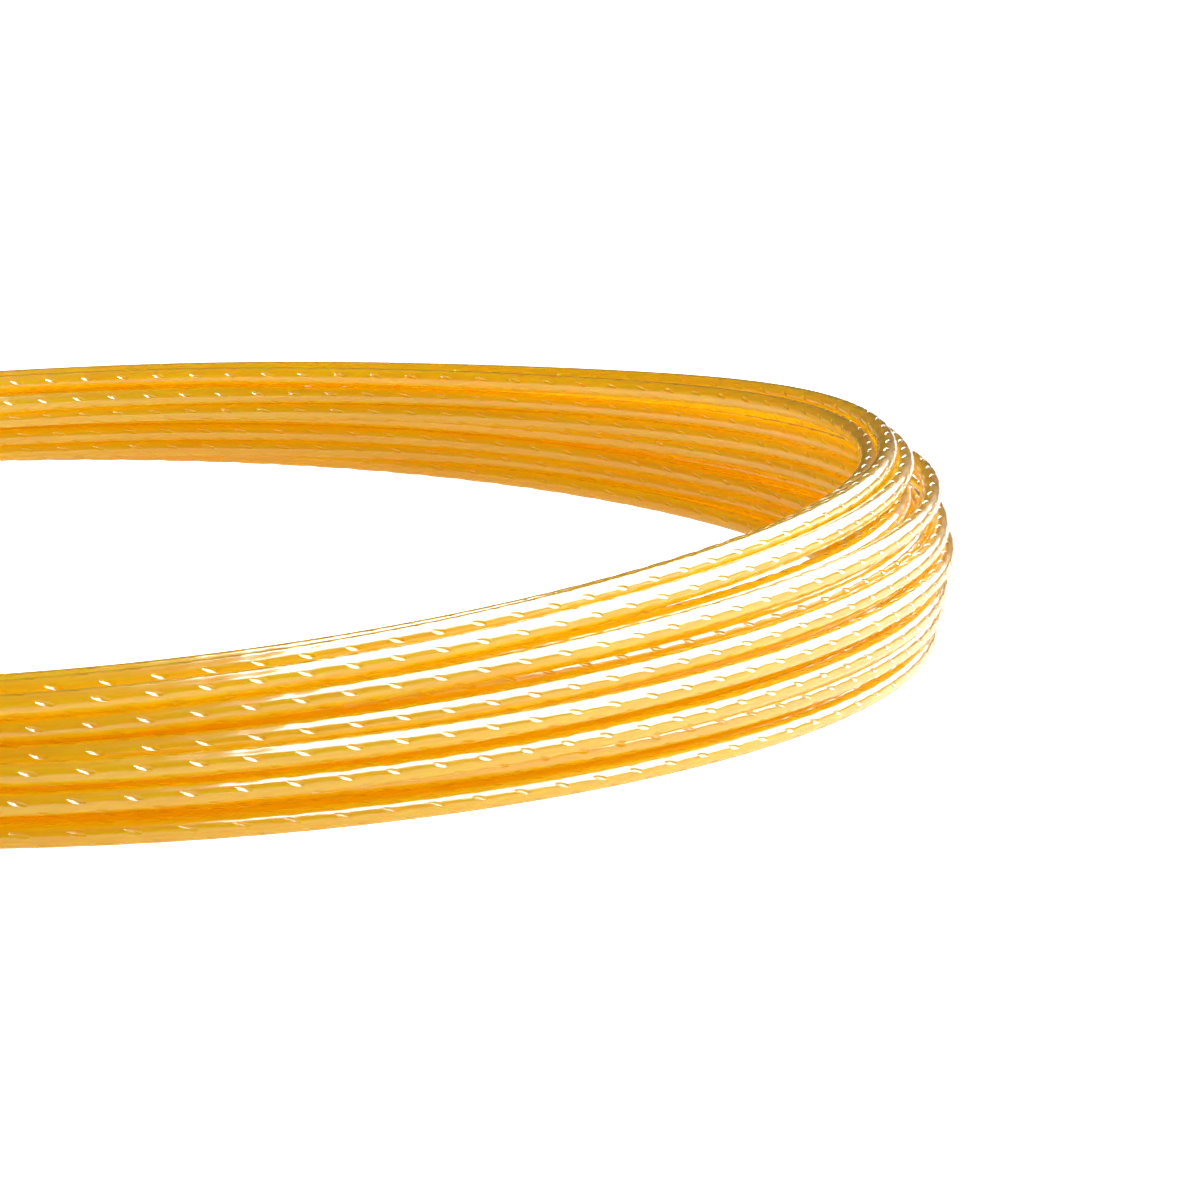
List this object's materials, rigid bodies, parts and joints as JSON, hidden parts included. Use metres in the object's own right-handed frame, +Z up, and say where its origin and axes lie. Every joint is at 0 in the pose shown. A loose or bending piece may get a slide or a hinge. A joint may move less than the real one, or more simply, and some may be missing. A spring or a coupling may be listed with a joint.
{
  "type": "coil of racket string",
  "caption": "Loose coil of translucent textured racket string, gathered and held on one side by a wire twist tie and fanned out on the other",
  "frame": {"origin": "middle of the coil's footprint, on the surface that it lies on", "axes": "+Z up along the coil's axis, the twist tie at -X, the fanned side at +X"},
  "size_m": [0.1122, 0.1048, 0.0119],
  "materials": {
    "string": "glossy translucent amber, with small slanted notches",
    "tie_ribbon": "satin white",
    "tie_wire": "drawn wire"
  },
  "bodies": {
    "root": {"string_coil": "string", "string_start_tail": "string", "string_end_tail": "string", "tie_ribbon": "tie_ribbon", "tie_wire": "tie_wire"}
  },
  "joints": []
}
